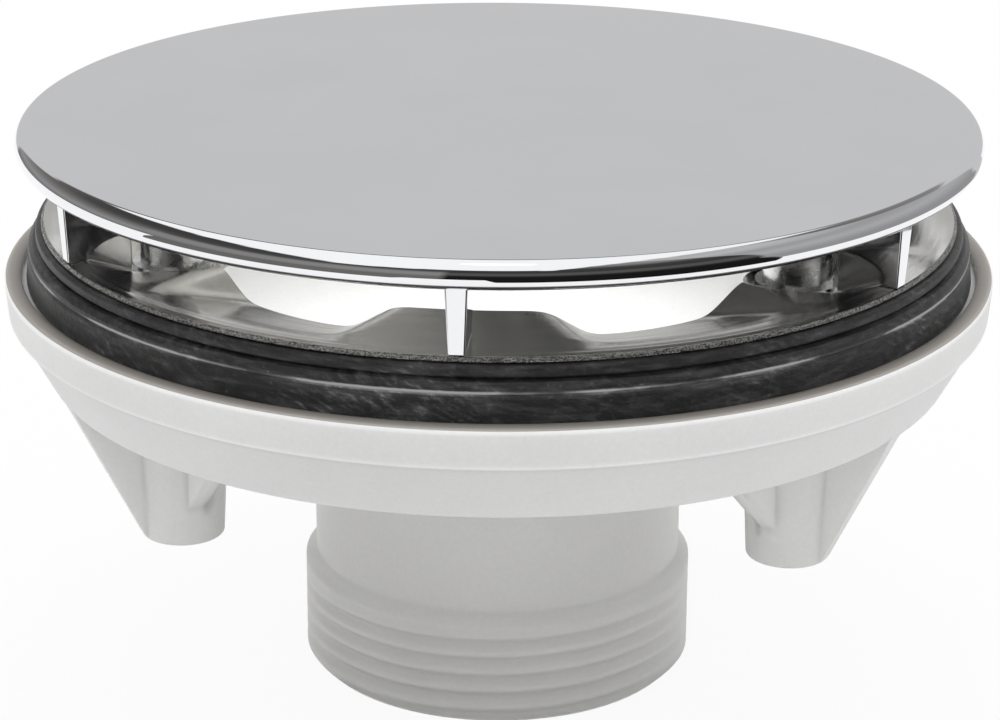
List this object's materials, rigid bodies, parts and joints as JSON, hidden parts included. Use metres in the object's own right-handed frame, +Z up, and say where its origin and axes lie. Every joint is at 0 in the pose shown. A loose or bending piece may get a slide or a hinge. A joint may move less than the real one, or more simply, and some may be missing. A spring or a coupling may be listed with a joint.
{
  "type": "shower tray waste",
  "caption": "Round shower tray waste: domed plated hood on ribs over a pressed steel flange, rubber seals, and a white bowl with screw towers and a screwed vertical outlet.",
  "frame": {"origin": "on the axis, at the outlet's end face, on which the waste stands", "axes": "+Z up along the outlet's axis; -Y towards one rib of the hood that has no screw behind it"},
  "size_m": [0.1186, 0.1186, 0.0702],
  "materials": {
    "white_plastic": "natural white moulding",
    "seal_rubber": "matt black, scuffed",
    "pressed_steel": "polished sheet",
    "plated_chrome": "bright plating",
    "screw_steel": "bright turned",
    "bush_brass": "turned"
  },
  "bodies": {
    "root": {"body": "white_plastic", "lower_seal": "seal_rubber", "upper_seal": "seal_rubber", "flange": "pressed_steel", "cover": "plated_chrome", "flange_screws": "screw_steel", "screw_washers": "screw_steel", "threaded_bushes": "bush_brass"}
  },
  "joints": []
}
